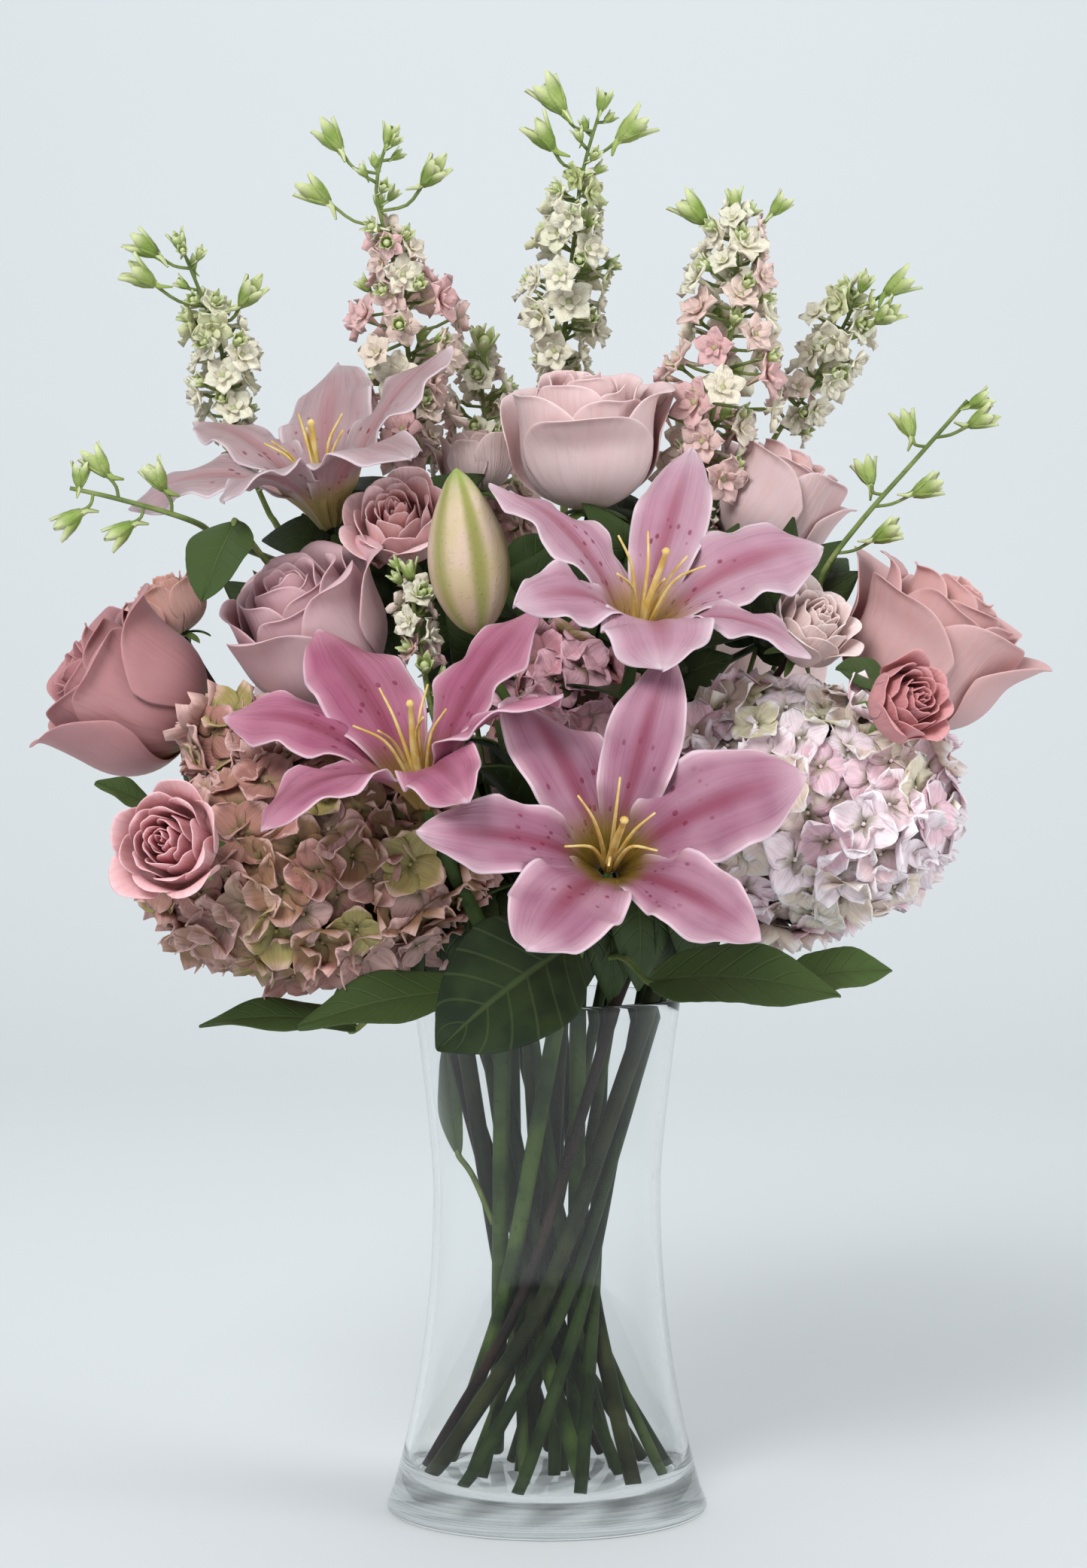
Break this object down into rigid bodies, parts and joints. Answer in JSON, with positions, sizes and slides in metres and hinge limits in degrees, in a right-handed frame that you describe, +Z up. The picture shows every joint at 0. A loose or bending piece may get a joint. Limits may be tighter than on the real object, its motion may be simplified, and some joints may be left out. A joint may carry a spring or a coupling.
{
  "type": "lilies in a vase",
  "caption": "Clear waisted glass vase holding a hand-tied bouquet of pink lilies, roses, spray roses, hydrangeas, larkspur and dark green leaves on crossing stems.",
  "frame": {"origin": "centre of the vase's foot, on the surface that it stands on", "axes": "+Z up along the vase's axis; -Y is the bouquet's front; +X to its right as seen from the front"},
  "size_m": [0.4444, 0.3842, 0.6254],
  "materials": {
    "glass": "gloss",
    "lily_petal": "satin",
    "rose_petal": "satin",
    "spray_rose_petal": "satin",
    "hydrangea_petal": "matte",
    "larkspur": "satin",
    "lily_bud": "satin",
    "leaf": "satin",
    "stem": "satin"
  },
  "bodies": {
    "root": {"hydrangea_back": "hydrangea_petal", "hydrangea_centre": "hydrangea_petal", "hydrangea_left": "hydrangea_petal", "hydrangea_right": "hydrangea_petal", "larkspur_back": "larkspur", "larkspur_centre": "larkspur", "larkspur_far_left": "larkspur", "larkspur_far_right": "larkspur", "larkspur_inner": "larkspur", "larkspur_left": "larkspur", "larkspur_right": "larkspur", "leaf_back_left": "leaf", "leaf_back_right": "leaf", "leaf_centre": "leaf", "leaf_far_left": "leaf", "leaf_far_right": "leaf", "leaf_in_vase": "leaf", "leaf_inner_right": "leaf", "leaf_left": "leaf", "leaf_right": "leaf", "leaf_side_left": "leaf", "leaf_upper_left": "leaf", "lily_back_left": "lily_petal", "lily_bud": "lily_bud", "lily_front": "lily_petal", "lily_left": "lily_petal", "lily_right": "lily_petal", "rose_back_left": "rose_petal", "rose_back_right": "rose_petal", "rose_centre_left": "rose_petal", "rose_left": "rose_petal", "rose_right": "rose_petal", "rose_top": "rose_petal", "rose_upper_right": "rose_petal", "spray_rose_inner_right": "spray_rose_petal", "spray_rose_lower_left": "spray_rose_petal", "spray_rose_outer_right": "spray_rose_petal", "spray_rose_top_back": "spray_rose_petal", "spray_rose_top_left": "spray_rose_petal", "spray_rose_upper_left": "spray_rose_petal", "stem_hydrangea_back": "stem", "stem_hydrangea_centre": "stem", "stem_hydrangea_left": "stem", "stem_hydrangea_right": "stem", "stem_lily_back_left": "stem", "stem_lily_front": "stem", "stem_lily_left": "stem", "stem_lily_right": "stem", "stem_rose_back_left": "stem", "stem_rose_back_right": "stem", "stem_rose_centre_left": "stem", "stem_rose_left": "stem", "stem_rose_right": "stem", "stem_rose_top": "stem", "stem_rose_upper_right": "stem", "stem_spray_left": "stem", "stem_spray_right": "stem", "vase": "glass"}
  },
  "joints": []
}
